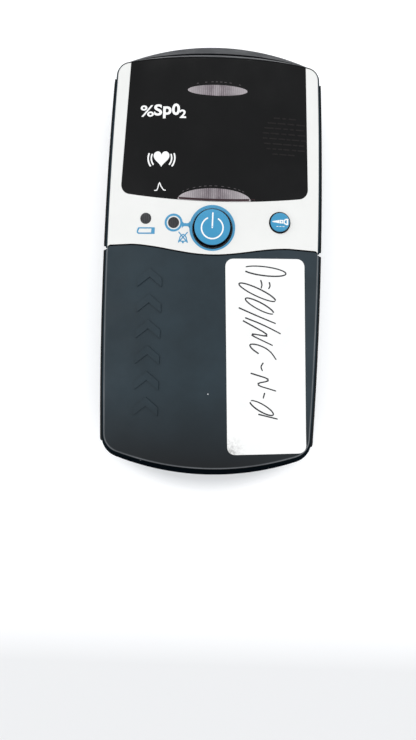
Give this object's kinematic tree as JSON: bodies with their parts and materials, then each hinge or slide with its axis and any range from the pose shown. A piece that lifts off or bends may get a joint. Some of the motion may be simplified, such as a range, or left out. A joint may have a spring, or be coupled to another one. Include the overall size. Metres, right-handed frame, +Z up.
{
  "type": "handheld pulse oximeter",
  "caption": "Palm-size handheld pulse oximeter with a dark display window, press buttons, side grips, a sensor socket at its end and a slide-off battery cover.",
  "frame": {"origin": "middle of the case's footprint, on the surface that its back rests on", "axes": "+Z up out of the display face, +Y towards the sensor-socket end, +X to the right as the display is read"},
  "size_m": [0.0704, 0.138, 0.032],
  "materials": {
    "case_plastic": "fine moulded texture, slate blue-grey",
    "rear_plastic": "fine moulded texture, slate blue-grey",
    "grip_rubber": "soft matt, mid grey",
    "white_plate": "satin white",
    "dark_window": "high gloss, near black",
    "light_pipe": "frosted, ribbed underneath",
    "lamp_lens": "smoked, textured",
    "blue_key": "satin blue",
    "switch_plastic": "moulded black",
    "plunger_plastic": "moulded natural",
    "board": "green solder mask",
    "digit_module": "grey moulded face",
    "led_body": "clear epoxy over white",
    "chip_body": "moulded black",
    "capacitor_can": "brushed can",
    "sounder_body": "moulded black",
    "plated_steel": "nickel plated",
    "gold_contact": "gold plated",
    "chassis_plastic": "moulded dark grey",
    "cell_jacket": "printed jacket on a steel can",
    "screw_steel": "zinc plated",
    "label_stock": "satin silver label",
    "sticker_paper": "coated paper, slightly soiled"
  },
  "bodies": {
    "case": {"alarm_led_bar": "led_body", "alarm_lens": "light_pipe", "alarm_silence_lens": "lamp_lens", "analog_chip": "chip_body", "backup_switch": "switch_plastic", "battery_cell_1": "cell_jacket", "battery_cell_2": "cell_jacket", "battery_cell_3": "cell_jacket", "battery_cell_4": "cell_jacket", "battery_chassis": "chassis_plastic", "battery_contact_plates": "plated_steel", "battery_springs": "plated_steel", "board_capacitors": "capacitor_can", "board_header": "chip_body", "case_screws": "screw_steel", "connector_body": "chip_body", "connector_contacts": "gold_contact", "connector_shell": "plated_steel", "display_board": "board", "display_board_screws": "screw_steel", "display_window": "dark_window", "fascia_plate": "white_plate", "front_shell": "case_plastic", "indicator_leds": "led_body", "low_battery_lens": "lamp_lens", "main_board": "board", "main_board_screws": "screw_steel", "power_switch": "switch_plastic", "processor_chip": "chip_body", "pulse_digit_display": "digit_module", "pulse_led_bar": "led_body", "pulse_lens": "light_pipe", "rear_label": "label_stock", "rear_shell": "rear_plastic", "sounder": "sounder_body", "spo2_digit_display": "digit_module", "upper_side_grips": "grip_rubber"},
    "battery_cover_body": {"battery_cover": "case_plastic", "cover_side_grips": "grip_rubber", "asset_sticker": "sticker_paper"},
    "power_button": {"power_cap": "blue_key", "power_plunger": "plunger_plastic"},
    "backup_button": {"backup_cap": "blue_key", "backup_plunger": "plunger_plastic"}
  },
  "joints": [
    {"name": "cover_slide", "type": "slide", "parent": "case", "child": "battery_cover_body", "axis": [0, -1, 0], "range_m": [0, 0.072]},
    {"name": "power_button_press", "type": "slide", "parent": "case", "child": "power_button", "axis": [0, 0, -1], "range_m": [0, 0.0012], "stiffness_N_per_m": 800, "springref_m": -0.0003},
    {"name": "backup_button_press", "type": "slide", "parent": "case", "child": "backup_button", "axis": [0, 0, -1], "range_m": [0, 0.001], "stiffness_N_per_m": 800, "springref_m": -0.0003}
  ]
}
